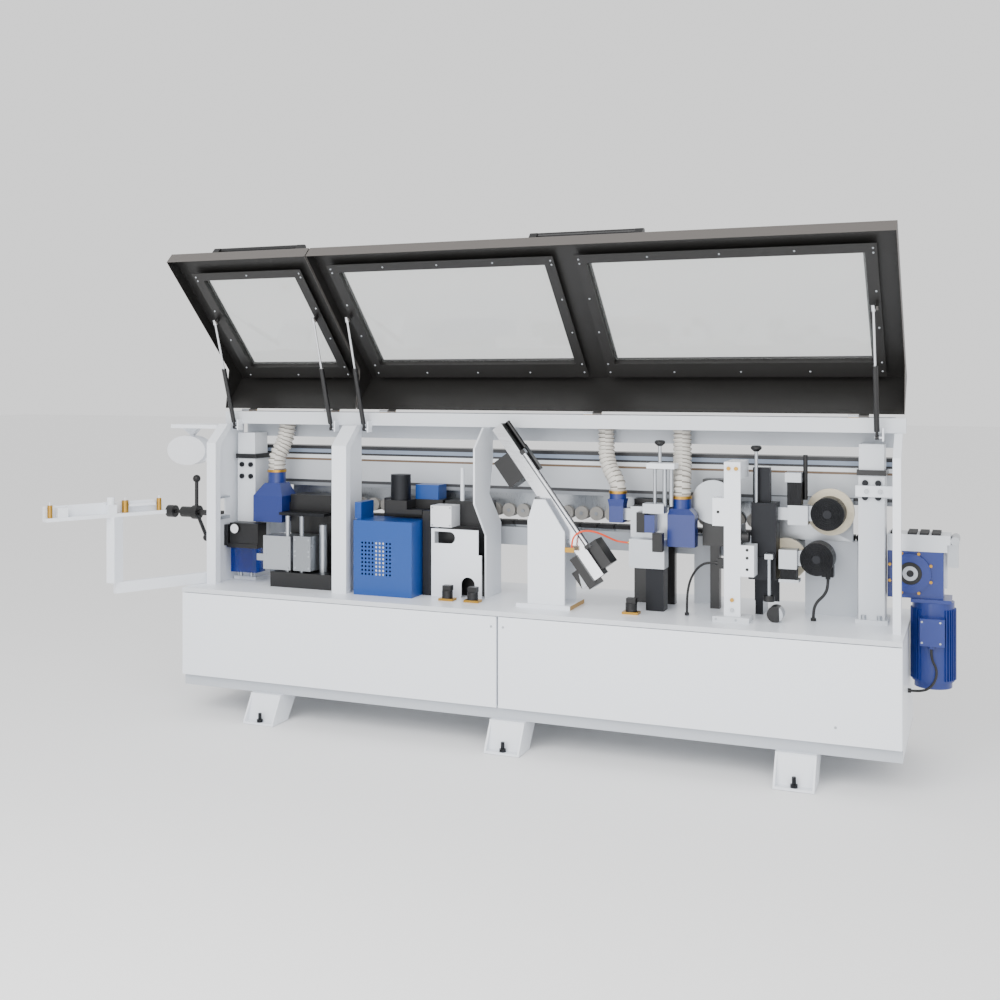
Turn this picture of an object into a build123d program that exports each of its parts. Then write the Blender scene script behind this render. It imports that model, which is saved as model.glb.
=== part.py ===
"""Straight-line edge banding machine, shown with both guard hoods open.

Machine frame while modelling: +X runs along the feed direction from the infeed end of the base,
+Y runs from the operator's side to the feed chain, and +Z is up from the floor. All sizes are in
millimetres. The last step shifts everything so that the origin is the centre of the footprint.
"""
from build123d import *
import math
import os

# ------------------------------------------------------------------ driving dimensions
BASE_LENGTH = 3200
BASE_DEPTH = 700
BASE_TOP = 580            # height of the machined top of the base
BASE_UNDERSIDE = 125
TOP_PLATE = 20
SHEET = 6                 # wall of the welded base
PANEL_SHEET = 18          # folded front panels
PANEL_FOOT = 175          # lower edge of the front panels
PANEL_SEAM = 10           # gap between the two front panels
SILL_SETBACK = 25

FOOT_WIDTH = 155
FOOT_REACH = 61           # how far a foot stands out in front of the base
FOOT_SOLE = 10
ANCHOR_HOLE_R = 9

POST_FRONT = 132          # front edge of every upright plate
POST_KNEE = 1250          # where the upright plates start to slope back
POST_TOP = 1338
POST_FLANGE = 40
POST_BACK = 340          # rear edge of the webs, under the back of the top bar
INFEED_WEB_BACK = 410
WEB = 6
SLOT = (190, 250, 900, 980)   # edge tape slot in the infeed plate: y, y, z, z

BAR_FRONT = 300
BAR_DEPTH = 40
BAR_HEIGHT = 59

HINGE_Z_ABOVE_BAR = 7
HOOD_OPEN_ANGLE = 129.3
HOOD_SHEET = 2
HOOD_LIP = 55             # depth of the side walls and of the lower lip
FRAME_DEPTH = 28          # window frame from the skin inwards
FRAME_FACE = 44
HOOD_EDGE = (8, 626)      # closed hood: outer lower edge, y and z
HOOD_KNEE = (85, 1420)    # closed hood: outer knee, y and z
HOOD_INNER_KNEE = 110     # distance from the knee to where the side wall reaches full depth
HOOD_REAR_GAP = 10        # from the hinge axis to the end of the back panel
HOOD_SEAM = 5
LEFT_HOOD_X = (30, 752)
RIGHT_HOOD_END = 3190
FRAME_START = 33          # lower edge of the frames, from the knee
LEFT_WINDOW_SPAN = (102, 660)     # window edges, from the knee
RIGHT_WINDOW_SPAN = (112, 677)
LEFT_WINDOWS = [(147, 633)]
RIGHT_WINDOWS = [(860, 1817), (1996, 3071)]
HANDLE_STAND = 40

STRUT_FOOT = (272, 1321)      # lower stud, y and z
STRUT_HEAD_CLOSED = (97, 990)
STRUT_TUBE_R = 11
STRUT_ROD_R = 5
STRUT_TUBE = 295
LEFT_STRUTS = [106, 640]
RIGHT_STRUTS = [814, 3088]

COLUMN_WIDTH = 100
COLUMN_FRONT = 318
COLUMN_DEPTH = 130
LEFT_COLUMN_X = 92
RIGHT_COLUMN_X = 3013
COLUMN_TOP = 1190
COLUMN_BOLT_HEAD = 9
STRAP_THICK = 8
STRAP_Z = 1106            # middle of the strap from the outfeed column to the end post
END_WEB_X = 3170

BEAM_X = (60, 3150)
BEAM_FRONT = 470
BEAM_DEPTH = 90
BEAM_Z = (1033, 1228)
BEAM_WALL = 6
WHEEL_R = 31
WHEEL_WIDTH = 24
WHEEL_GAP = 8             # between neighbouring wheels
WHEEL_PITCH = 2 * WHEEL_R + WHEEL_GAP
WHEEL_FIRST_X = 330
WHEEL_LAST_X = 2920
WHEEL_COUNT = int((WHEEL_LAST_X - WHEEL_FIRST_X) / WHEEL_PITCH) + 1
WHEEL_AXLE_R = 8
BOARD_GAP = 20            # chain pads to wheels, as set
FEED_HEIGHT = 900         # top of the chain pads
LIFT_RANGE = (-10, 40)
RUN_FIT = 0.05            # radial clearance of every running fit
CLEAR = 0.3               # gap between neighbours that move past each other

PAD_THICK = 18
PAD_LENGTH = 74
PAD_PITCH = 80
PAD_WIDTH = 64
CHAIN_Y = 548
CHAIN_BEAM_Z = (790, 872)

GEARBOX_X = (3119, 3330)
GEARBOX_Z = (681, 867)
GEARBOX_FRONT = 380
GEARBOX_DEPTH = 120
HUB_X = 3206
HUB_Z = 780
HUB_R = 29
GEAR_RATIO = 30
MOTOR_R = 80
MOTOR_X = 3290
MOTOR_BOTTOM = 327

TRIM_SLOPE = math.degrees(math.atan2(685, 518))
BUFF_WHEEL_R = 95
LOWER_WHEEL_R = 86

# ------------------------------------------------------------------ helpers
nodes = {}


def add(name, *solids):
    """Put solids into a named node."""
    nodes.setdefault(name, []).extend(solids)


def block(x, y, z):
    """A rectangular block from three pairs of limits."""
    centre = Pos((x[0] + x[1]) / 2, (y[0] + y[1]) / 2, (z[0] + z[1]) / 2)
    return centre * Box(x[1] - x[0], y[1] - y[0], z[1] - z[0])


def plate_across_x(outline, x):
    """A plate whose outline is given in y and z, between two x limits."""
    face = Plane.YZ.offset(x[0]) * Polygon(*outline, align=None)
    return extrude(face, amount=x[1] - x[0])


def plate_across_y(outline, y):
    """A plate whose outline is given in x and z, between two y limits."""
    face = Plane.XZ.offset(-y[1]) * Polygon(*outline, align=None)
    return extrude(face, amount=y[1] - y[0])


def rod(start, end, radius, bore=0):
    """A round bar or tube between two points."""
    a, b = Vector(*start), Vector(*end)
    place = Plane(origin=(a + b) / 2, z_dir=b - a)
    length = (b - a).length
    body = place * Cylinder(radius, length)
    if bore:
        body -= place * Cylinder(bore, length + 2)
    return body


def rod_y(x, z, y, radius, bore=0):
    return rod((x, y[0], z), (x, y[1], z), radius, bore)


def rod_z(x, y, z, radius, bore=0):
    return rod((x, y, z[0]), (x, y, z[1]), radius, bore)


def rod_x(x, y, z, radius, bore=0):
    return rod((x[0], y, z), (x[1], y, z), radius, bore)


def bar_between(start, end, width, height):
    """A rectangular bar along a line that lies in a vertical plane."""
    a, b = Vector(*start), Vector(*end)
    along = (b - a).normalized()
    side = Vector(0, 0, 1).cross(along)
    side = side.normalized() if side.length > 1e-6 else Vector(1, 0, 0)
    place = Plane(origin=(a + b) / 2, x_dir=side, z_dir=along)
    return place * Box(width, height, (b - a).length)


def dome_knob(x, y, z_top, radius, height):
    """A mushroom hand knob with its crown at z_top."""
    outline = [(0, 0), (radius * 0.45, 0), (radius, height * 0.45), (radius, height * 0.8),
               (radius * 0.7, height), (0, height)]
    face = Plane.XZ * Polygon(*outline, align=None)
    return Pos(x, y, z_top - height) * revolve(face, Axis.Z, 360)


# ------------------------------------------------------------------ base
def make_base():
    depth = (PANEL_SHEET, BASE_DEPTH - SHEET)
    walls = (BASE_UNDERSIDE + SHEET, BASE_TOP - TOP_PLATE)
    add("base_cabinet",
        block((0, BASE_LENGTH), (0, BASE_DEPTH), (BASE_TOP - TOP_PLATE, BASE_TOP)),
        block((0, BASE_LENGTH), (SILL_SETBACK, BASE_DEPTH), (BASE_UNDERSIDE, BASE_UNDERSIDE + SHEET)),
        block((0, BASE_LENGTH), (SILL_SETBACK, SILL_SETBACK + SHEET), (walls[0], PANEL_FOOT)),
        block((0, BASE_LENGTH), (BASE_DEPTH - SHEET, BASE_DEPTH), walls))
    bulkhead_depth = (SILL_SETBACK + SHEET, BASE_DEPTH - SHEET)
    for x in (0, SEAM_X - SHEET / 2, BASE_LENGTH - SHEET):
        add("base_cabinet", block((x, x + SHEET), bulkhead_depth, walls))
        add("base_cabinet", block((x, x + SHEET), (PANEL_SHEET, bulkhead_depth[0]), (PANEL_FOOT, walls[1])))
    panel_z = (PANEL_FOOT + 2, walls[1] - 3)
    add("front_panels", block((2, SEAM_X - PANEL_SEAM / 2), (0, PANEL_SHEET), panel_z),
        block((SEAM_X + PANEL_SEAM / 2, BASE_LENGTH - 2), (0, PANEL_SHEET), panel_z))


SEAM_X = 1587


def foot(x, mirror=False):
    """One welded foot: sole with an anchor hole, two cheeks, a recessed front and a top flange."""
    half = FOOT_WIDTH / 2
    top = BASE_UNDERSIDE
    heel, neck, back = 70, 2, 150
    cheek = 8
    sole = block((x - half, x + half), (-FOOT_REACH, heel), (0, FOOT_SOLE))
    sole -= rod_z(x, ANCHOR_Y, (-1, FOOT_SOLE + 1), ANCHOR_HOLE_R)
    side = [(-FOOT_REACH, FOOT_SOLE), (heel, FOOT_SOLE), (back, top - cheek), (neck, top - cheek)]
    recess = 34
    front = [(-FOOT_REACH + recess, FOOT_SOLE), (-FOOT_REACH + recess + cheek, FOOT_SOLE),
             (neck + cheek, top - cheek), (neck, top - cheek)]
    pieces = [sole,
              plate_across_x(side, (x - half, x - half + cheek)),
              plate_across_x(side, (x + half - cheek, x + half)),
              plate_across_x(front, (x - half + cheek, x + half - cheek)),
              block((x - half, x + half), (neck, back), (top - cheek, top))]
    jack_y = -FOOT_REACH + recess / 2
    jack = [rod_z(x, jack_y, (FOOT_SOLE, FOOT_SOLE + 12), 14), rod_z(x, jack_y, (FOOT_SOLE + 12, FOOT_SOLE + 40), 8)]
    if mirror:
        turn = Pos(2 * x, BASE_DEPTH + SILL_SETBACK, 0) * Rot(0, 0, 180)
        pieces = [turn * piece for piece in pieces]
        jack = [turn * piece for piece in jack]
    add("base_feet", *pieces)
    add("machine_bolts", *jack)


ANCHOR_Y = 30
FOOT_X = (454, 1630, 2813)


def make_feet():
    for x in FOOT_X:
        foot(x)
        foot(x, mirror=True)


# ------------------------------------------------------------------ upright plates and top bar
def upright(name, x, web_x, back=POST_BACK, slot=None):
    """An upright plate: a flange that follows the closed hood and a web behind it."""
    inner = POST_FRONT + POST_FLANGE
    knee_in = POST_KNEE - 15
    run = POST_TOP - POST_KNEE
    slope_y = POST_FRONT + run * 1.14
    top_in = slope_y + POST_FLANGE * 1.18
    add(name,
        plate_across_x([(POST_FRONT, BASE_TOP), (inner, BASE_TOP), (inner, knee_in), (POST_FRONT, POST_KNEE)], x),
        plate_across_x([(POST_FRONT, POST_KNEE), (inner, knee_in), (top_in, POST_TOP), (slope_y, POST_TOP)], x))
    web = (web_x, web_x + WEB)
    slope = [(back, POST_TOP), (top_in, POST_TOP), (inner, knee_in)]
    if slot is None:
        add(name, plate_across_x([(inner, BASE_TOP), (back, BASE_TOP)] + slope, web))
        return
    y0, y1, z0, z1 = slot
    add(name,
        block(web, (inner, back), (BASE_TOP, z0)),
        block(web, (inner, y0), (z0, z1)),
        block(web, (y1, back), (z0, z1)),
        plate_across_x([(inner, z1), (back, z1)] + slope, web))


def make_uprights():
    upright("infeed_end_plate", (43, 93), 60, back=INFEED_WEB_BACK, slot=SLOT)
    upright("divider_plates", (722, 796), 757)
    upright("outfeed_end_post", (3156, 3186), END_WEB_X)
    x = (1422, 1430)
    drop = 130
    add("divider_plates",
        plate_across_x([(POST_FRONT, 1010), (300, 1040), (POST_BACK, 1200), (POST_BACK, POST_TOP),
                        (POST_FRONT + 100, POST_TOP), (POST_FRONT, POST_KNEE)], x),
        plate_across_x([(POST_FRONT, 1010), (POST_FRONT + drop, 860), (440, 900), (300, 1040)], x),
        plate_across_x([(POST_FRONT + drop, BASE_TOP), (440, BASE_TOP), (440, 900), (POST_FRONT + drop, 860)], x))
    add("top_bar", block((34, 3195), (BAR_FRONT, BAR_FRONT + BAR_DEPTH), (POST_TOP, POST_TOP + BAR_HEIGHT)))
    back = BAR_FRONT + BAR_DEPTH
    top = POST_TOP + BAR_HEIGHT
    add("top_bar", block((66, 3150), (SHEET_Y, SHEET_Y + 3), (BEAM_Z[1] + LIFT_RANGE[1] + 5, top)))
    for end in (66, 3147):
        add("top_bar", block((end, end + 3), (back, SHEET_Y), (POST_TOP + 4, top)))


SHEET_Y = 440             # grey sheet above the pressure beam


# ------------------------------------------------------------------ guard hoods
HINGE_Y = BAR_FRONT
HINGE_Z = POST_TOP + BAR_HEIGHT + HINGE_Z_ABOVE_BAR


def open_hood(solid):
    """Swing a solid from the closed hood position to the open one."""
    return Pos(0, HINGE_Y, HINGE_Z) * Rot(-HOOD_OPEN_ANGLE, 0, 0) * Pos(0, -HINGE_Y, -HINGE_Z) * solid


def panel_point(from_knee, depth):
    """A point on the closed front panel: distance down from the knee, depth inwards from the skin."""
    ky, kz = HOOD_KNEE
    ey, ez = HOOD_EDGE
    length = math.hypot(ey - ky, ez - kz)
    dy, dz = (ey - ky) / length, (ez - kz) / length
    return (ky + dy * from_knee - dz * depth, kz + dz * from_knee + dy * depth)


PANEL_LENGTH = math.hypot(HOOD_EDGE[0] - HOOD_KNEE[0], HOOD_EDGE[1] - HOOD_KNEE[1])


def panel_strip(start, end, depth_out, depth_in):
    """Outline of a strip of the front panel between two distances from the knee."""
    return [panel_point(start, depth_out), panel_point(end, depth_out),
            panel_point(end, depth_in), panel_point(start, depth_in)]


def hood_window(x, span):
    """Skin opening, pane and box frame around one window, all in the closed position."""
    (start, end), (low, high) = x, span
    face = (FRAME_DEPTH, FRAME_DEPTH + HOOD_SHEET)
    wall = (HOOD_SHEET, FRAME_DEPTH)
    t = HOOD_SHEET
    rim = 10
    frame = [plate_across_x(panel_strip(FRAME_START, low, *face), (start - FRAME_FACE, end + FRAME_FACE)),
             plate_across_x(panel_strip(high, high + FRAME_FACE, *face), (start - FRAME_FACE, end + FRAME_FACE)),
             plate_across_x(panel_strip(low, high, *face), (start - FRAME_FACE, start)),
             plate_across_x(panel_strip(low, high, *face), (end, end + FRAME_FACE)),
             plate_across_x(panel_strip(low - t, low, *wall), (start - t, end + t)),
             plate_across_x(panel_strip(high, high + t, *wall), (start - t, end + t)),
             plate_across_x(panel_strip(low, high, *wall), (start - t, start)),
             plate_across_x(panel_strip(low, high, *wall), (end, end + t)),
             plate_across_x(panel_strip(low, low + rim, 0, t), (start, end)),
             plate_across_x(panel_strip(high - rim, high, 0, t), (start, end)),
             plate_across_x(panel_strip(low + rim, high - rim, 0, t), (start, start + rim)),
             plate_across_x(panel_strip(low + rim, high - rim, 0, t), (end - rim, end))]
    pane = panel_strip(low + CLEAR, high - CLEAR, t, t + 4)
    return frame, plate_across_x(pane, (start + CLEAR, end - CLEAR))


def make_hood(side, x, windows, span, handle_x, hinge_x):
    """Skin, side walls and lip of one hood, with its window frames, panes and handle."""
    shell = side + "_hood_shell"
    t = HOOD_SHEET
    rear = (HINGE_Y - HOOD_REAR_GAP, HINGE_Z)
    solids = [plate_across_x(panel_strip(0, span[0], 0, t), x),
              plate_across_x(panel_strip(span[1], PANEL_LENGTH, 0, t), x)]
    edges = [x[0]] + [value for window in windows for value in window] + [x[1]]
    for start, end in zip(edges[::2], edges[1::2]):
        solids.append(plate_across_x(panel_strip(*span, 0, t), (start, end)))
    solids.append(plate_across_x([HOOD_KNEE, panel_point(0, t), (rear[0], rear[1] - t), rear], x))
    solids.append(plate_across_x(panel_strip(PANEL_LENGTH - t, PANEL_LENGTH, t, HOOD_LIP), x))
    inner_knee = panel_point(HOOD_INNER_KNEE, HOOD_LIP)
    for wall in ((x[0], x[0] + t), (x[1] - t, x[1])):
        solids.append(plate_across_x([panel_point(0, t), panel_point(PANEL_LENGTH - t, t),
                                      panel_point(PANEL_LENGTH - t, HOOD_LIP), inner_knee], wall))
        solids.append(plate_across_x([panel_point(0, t), inner_knee, (rear[0], rear[1] - t)], wall))
    for window in windows:
        frame, pane = hood_window(window, span)
        solids += frame
        add(side + "_hood_windows", open_hood(pane))
    slope = (HOOD_KNEE[1] - rear[1]) / (rear[0] - HOOD_KNEE[0])
    leaf_y = HINGE_Y - 38
    leaf_z = rear[1] + (rear[0] - leaf_y) * slope
    for hx in hinge_x:
        knuckle_x = (hx + 1, hx + 40)
        knuckle = rod_x(knuckle_x, HINGE_Y, HINGE_Z, KNUCKLE_R, bore=PIN_R + RUN_FIT)
        leaf = plate_across_x([(leaf_y, leaf_z), rear, (HINGE_Y - 2, HINGE_Z), (HINGE_Y - 2, HINGE_Z + 4),
                               (leaf_y, leaf_z + 3)], knuckle_x)
        solids += [knuckle, leaf - rod_x(knuckle_x, HINGE_Y, HINGE_Z, KNUCKLE_R)]
    add(shell, *[open_hood(solid) for solid in solids])

    grip_at = PANEL_LENGTH - 26
    stand = HANDLE_STAND
    grip = [rod((handle_x[0] + 8, *panel_point(grip_at, -stand)),
                (handle_x[1] - 8, *panel_point(grip_at, -stand)), 12)]
    for ear in ((handle_x[0] + 8, handle_x[0] + 40), (handle_x[1] - 40, handle_x[1] - 8)):
        foot_plate = plate_across_x(panel_strip(grip_at - 16, grip_at + 16, -stand, 0), ear)
        grip.append(foot_plate - grip[0])
    add(side + "_hood_handle", *[open_hood(solid) for solid in grip])


KNUCKLE_R = 5.5
PIN_R = 3


def make_hinges(hinge_x):
    """Fixed knuckles, leaves and pins on the top bar."""
    for hx in hinge_x:
        leaf = block((hx - 40, hx), (HINGE_Y, HINGE_Y + 34), (HINGE_Z - HINGE_Z_ABOVE_BAR, HINGE_Z - 3))
        leaf -= rod_x((hx - 41, hx + 1), HINGE_Y, HINGE_Z, KNUCKLE_R)
        knuckle = rod_x((hx - 40, hx), HINGE_Y, HINGE_Z, KNUCKLE_R, bore=PIN_R)
        add("hinge_leaves", leaf, knuckle, rod_x((hx - 40, hx + 40), HINGE_Y, HINGE_Z, PIN_R))


def swing(point, angle):
    a = math.radians(angle)
    y, z = point[0] - HINGE_Y, point[1] - HINGE_Z
    return (HINGE_Y + y * math.cos(a) - z * math.sin(a), HINGE_Z + y * math.sin(a) + z * math.cos(a))


STRUT_HEAD_OPEN = swing(STRUT_HEAD_CLOSED, -HOOD_OPEN_ANGLE)


def strut_vector(head):
    return (head[0] - STRUT_FOOT[0], head[1] - STRUT_FOOT[1])


def strut_facts():
    """Length and bearing of the strut with the hood open and closed."""
    opened, closed = strut_vector(STRUT_HEAD_OPEN), strut_vector(STRUT_HEAD_CLOSED)
    turn = (math.degrees(math.atan2(closed[1], closed[0]) - math.atan2(opened[1], opened[0]))) % 360
    return math.hypot(*opened), math.hypot(*closed), turn


STRUT_LENGTH, STRUT_SHORT, STRUT_TURN = strut_facts()
STRUT_AXIS = (0, (STRUT_HEAD_OPEN[0] - STRUT_FOOT[0]) / STRUT_LENGTH,
              (STRUT_HEAD_OPEN[1] - STRUT_FOOT[1]) / STRUT_LENGTH)


def along_strut(x, distance):
    return (x, STRUT_FOOT[0] + STRUT_AXIS[1] * distance, STRUT_FOOT[1] + STRUT_AXIS[2] * distance)


def make_struts(side, positions):
    """Gas springs: a tube on a stud under the top bar and a rod that ends in a ball socket."""
    for x in positions:
        eye = rod_x((x - 7, x + 7), STRUT_FOOT[0], STRUT_FOOT[1], 9, bore=4 + RUN_FIT)
        neck = rod(along_strut(x, 8.9), along_strut(x, 26), 6)
        neck -= rod_x((x - 8, x + 8), STRUT_FOOT[0], STRUT_FOOT[1], 9)
        tube = rod(along_strut(x, 26), along_strut(x, STRUT_TUBE), STRUT_TUBE_R, bore=STRUT_ROD_R + RUN_FIT)
        add(side + "_strut_tubes", eye, neck, tube)
        rod_start = STRUT_LENGTH - (STRUT_SHORT - 26 - 12) - 4
        add(side + "_strut_rods",
            rod(along_strut(x, rod_start), along_strut(x, STRUT_LENGTH - 14), STRUT_ROD_R),
            rod(along_strut(x, STRUT_LENGTH - 14), along_strut(x, STRUT_LENGTH + 10), 9))
        y, z = STRUT_FOOT
        stud_end = x + 20
        add("hinge_leaves",
            rod_x((x - 9, stud_end), y, z, 4),
            block((stud_end, stud_end + 6), (y - 12, BAR_FRONT), (z - 14, POST_TOP + 20)))
        arm = panel_strip(PANEL_AT_STUD - 10, PANEL_AT_STUD + 10, FRAME_DEPTH + HOOD_SHEET, HOOD_LIP + 9)
        add(side + "_hood_shell", open_hood(plate_across_x(arm, (x + 10, x + 18))))


PANEL_AT_STUD = (HOOD_KNEE[1] - STRUT_HEAD_CLOSED[1]) * PANEL_LENGTH / (HOOD_KNEE[1] - HOOD_EDGE[1])


# ------------------------------------------------------------------ columns, pressure beam and wheels
def column(x):
    """A column that carries the pressure beam, with its foot plate and top housing."""
    end = x + COLUMN_WIDTH
    y = (COLUMN_FRONT, COLUMN_FRONT + COLUMN_DEPTH)
    add("beam_columns",
        block((x, end), y, (BASE_TOP + 15, COLUMN_TOP - 22)),
        block((x - 12, end + 12), (y[0] - 14, y[1] + 10), (BASE_TOP, BASE_TOP + 15)),
        block((x - 6, end + 6), (y[0] - 8, y[1]), (COLUMN_TOP - 22, COLUMN_TOP)),
        block((x + 2, end - 2), (y[0], y[1] - 20), (COLUMN_TOP, COLUMN_TOP + 102)))
    for row in (COLUMN_TOP - 52, COLUMN_TOP - 109):
        for bolt in (x + 26, x + 76):
            add("machine_bolts", rod_y(bolt, row, (y[0] - COLUMN_BOLT_HEAD, y[0]), 12))
    for bolt in (x + 20, x + 80):
        add("machine_bolts", rod_z(bolt, y[0] - 2, (BASE_TOP + 15, BASE_TOP + 33), 10) - block(
            (x, end), y, (BASE_TOP, BASE_TOP + 60)))


def make_columns():
    column(LEFT_COLUMN_X)
    column(RIGHT_COLUMN_X)


def make_beam():
    """Pressure beam with two rows of sprung wheels on a common carrier."""
    y = (BEAM_FRONT, BEAM_FRONT + BEAM_DEPTH)
    wheel_z = FEED_HEIGHT + BOARD_GAP + WHEEL_R
    mid = (y[0] + y[1]) / 2
    add("pressure_beam",
        block(BEAM_X, y, (BEAM_Z[0], BEAM_Z[0] + BEAM_WALL)),
        block(BEAM_X, y, (BEAM_Z[1] - BEAM_WALL, BEAM_Z[1])),
        block(BEAM_X, (y[0], y[0] + BEAM_WALL), (BEAM_Z[0] + BEAM_WALL, BEAM_Z[1] - BEAM_WALL)),
        block(BEAM_X, (y[1] - BEAM_WALL, y[1]), (BEAM_Z[0] + BEAM_WALL, BEAM_Z[1] - BEAM_WALL)),
        block((WHEEL_FIRST_X - 40, WHEEL_FIRST_X + WHEEL_PITCH * (WHEEL_COUNT - 1) + 40), (mid - 8, mid + 8),
              (wheel_z - 12, BEAM_Z[0])))
    for i in range(WHEEL_COUNT):
        x = WHEEL_FIRST_X + i * WHEEL_PITCH
        for face, outward in ((mid - 8, -1), (mid + 8, 1)):
            far = face + outward * (WHEEL_WIDTH + 4)
            add("pressure_beam", rod_y(x, wheel_z, (min(face, far), max(face, far)), WHEEL_AXLE_R))
            near = face + outward * CLEAR
            tip = near + outward * WHEEL_WIDTH
            add("pressure_wheels", rod_y(x, wheel_z, (min(near, tip), max(near, tip)), WHEEL_R,
                                         bore=WHEEL_AXLE_R + RUN_FIT))
    for x in (LEFT_COLUMN_X + COLUMN_WIDTH / 2, RIGHT_COLUMN_X + COLUMN_WIDTH / 2):
        add("pressure_beam", block((x - 40, x + 40), (COLUMN_FRONT + COLUMN_DEPTH + CLEAR, y[0]),
                                   (BEAM_Z[0] + 20, BEAM_Z[1] - 60)))


# ------------------------------------------------------------------ feed chain and drive
def make_conveyor():
    y = (CHAIN_Y - 42, CHAIN_Y + 42)
    x = (20, 3085)
    add("conveyor_beam", block(x, y, CHAIN_BEAM_Z))
    for leg_x in (150, 860, 1600, 2350, 2950):
        add("conveyor_beam", block((leg_x - 45, leg_x + 45), (y[0] + 12, y[1] - 12), (BASE_TOP, CHAIN_BEAM_Z[0])))
    count = int((x[1] - x[0]) / PAD_PITCH)
    for i in range(count):
        start = x[0] + 6 + i * PAD_PITCH
        add("chain_pads", block((start, start + PAD_LENGTH), (CHAIN_Y - PAD_WIDTH / 2, CHAIN_Y + PAD_WIDTH / 2),
                                (FEED_HEIGHT - PAD_THICK, FEED_HEIGHT)))
        link = block((start, start + PAD_LENGTH), (CHAIN_Y - 18, CHAIN_Y + 18), (CHAIN_BEAM_Z[1], FEED_HEIGHT - PAD_THICK))
        add("chain_pads", link)
    rail_x = (GEARBOX_X[0], 3356)
    add("outfeed_rail",
        block((rail_x[0], rail_x[1]), (GEARBOX_FRONT, GEARBOX_FRONT + 140), (GEARBOX_Z[1] + 30, GEARBOX_Z[1] + 66)),
        block((rail_x[0], 3344), (GEARBOX_FRONT, GEARBOX_FRONT + 140), (GEARBOX_Z[1], GEARBOX_Z[1] + 30)),
        block((3344, 3385), (GEARBOX_FRONT + 20, GEARBOX_FRONT + 60), (GEARBOX_Z[1] - 60, GEARBOX_Z[1] + 30)),
        block((GEARBOX_X[1], 3344), (GEARBOX_FRONT + 40, GEARBOX_FRONT + 100), (720, GEARBOX_Z[1])),
        rod_y(3373, GEARBOX_Z[1] + 46, (GEARBOX_FRONT, GEARBOX_FRONT + 140), 17))
    for pad_x in (3130, 3195, 3240, 3285):
        add("chain_pads", block((pad_x, pad_x + 34), (GEARBOX_FRONT + 2, GEARBOX_FRONT + 138),
                                  (GEARBOX_Z[1] + 66, GEARBOX_Z[1] + 74)))


def make_drive():
    """Worm gearbox with its hollow output hub, and the flange motor that hangs below it."""
    y = (GEARBOX_FRONT, GEARBOX_FRONT + GEARBOX_DEPTH)
    case = block(GEARBOX_X, y, GEARBOX_Z)
    case -= rod_y(HUB_X, HUB_Z, (y[0] - 1, y[1] + 1), HUB_R + RUN_FIT)
    add("worm_gearbox", case, rod_y(HUB_X, HUB_Z, (y[0] - 12, y[0]), 78, bore=HUB_R + 16))
    bolt_count = 8
    for i in range(bolt_count):
        a = math.radians(22.5 + 360 / bolt_count * i)
        add("machine_bolts", rod_y(HUB_X + 84 * math.cos(a), HUB_Z + 84 * math.sin(a), (y[0] - 8, y[0]), 6)
            - rod_y(HUB_X, HUB_Z, (y[0] - 12, y[0]), 78))
    sprocket_r = FEED_HEIGHT - PAD_THICK - 8 - HUB_Z
    add("output_hub", rod_y(HUB_X, HUB_Z, (y[0] - 16, y[1] + 20), HUB_R, bore=14))
    add("output_hub", rod_y(HUB_X, HUB_Z, (y[1] + 20, y[1] + 34), sprocket_r, bore=14))
    motor_y = (y[0] + y[1]) / 2
    top = GEARBOX_Z[0]
    add("feed_motor",
        rod_z(MOTOR_X, motor_y, (MOTOR_BOTTOM + 25, top - 14), MOTOR_R),
        block((MOTOR_X - 82, MOTOR_X + 70), (motor_y - 76, motor_y + 76), (top - 14, top)),
        rod_z(MOTOR_X, motor_y, (MOTOR_BOTTOM, MOTOR_BOTTOM + 25), MOTOR_R - 8))
    box_y = (motor_y - MOTOR_R - 38, motor_y - MOTOR_R + 12)
    terminal = block((MOTOR_X - 46, MOTOR_X + 46), box_y, (505, 612))
    terminal -= rod_z(MOTOR_X, motor_y, (MOTOR_BOTTOM, top), MOTOR_R)
    add("feed_motor", terminal,
        rod_z(MOTOR_X - 4, (box_y[0] + box_y[1]) / 2 - 4, (493, 505), 12))


# ------------------------------------------------------------------ infeed bay
def make_infeed_bay():
    add("lubricator",
        block((104, 262), (232, 306), (764, 862)),
        block((90, 262), (226, 310), (744, 764)),
        rod_y(138, 836, (220, 232), 22))
    add("lubricator",
        block((112, 256), (230, 306), (628, 744)))
    add("lubricator", block((66, 90), (240, 300), (750, 850)))

    base_z = (BASE_TOP, 650)
    add("premill_base", block((365, 690), (180, 440), base_z),
        block((385, 690), (330, 460), (base_z[1], 1000)),
        block((384, 627), (226, 330), (911, 924)),
        block((372, 385), (340, 390), (900, 960)))
    add("premill_blocks",
        block((320, 468), (190, 300), (659, 816)) - rod_z(440, 214, (600, 900), 11)
        - rod_z(516, 214, (600, 900), 11),
        block((484, 576), (190, 300), (659, 820)) - rod_z(516, 214, (600, 900), 11),
        block((256, 320), (232, 262), (690, 722)))
    for x in (440, 516):
        add("premill_blocks", rod_z(x, 214, (base_z[1], 911), 11))
    add("premill_blocks", block((468, 484), (250, 290), (700, 780)))
    add("premill_base", rod_z(602, 262, (base_z[1], 870), 19))


def hood_funnel(x, y, z, neck_x, neck_z):
    """Sheet funnel of a chip extraction hood: a box that narrows to its spigot."""
    cx, cy = (x[0] + x[1]) / 2, (y[0] + y[1]) / 2
    lower = Plane.XY.offset(z[1]) * Pos(cx, cy) * Rectangle(x[1] - x[0], y[1] - y[0])
    width = neck_x[1] - neck_x[0]
    nx = (neck_x[0] + neck_x[1]) / 2
    upper = Plane.XY.offset(neck_z[0]) * Pos(nx, cy) * Rectangle(width, width)
    return [block(x, y, z), loft([lower.face(), upper.face()]), rod_z(nx, cy, neck_z, width / 2)]


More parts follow.
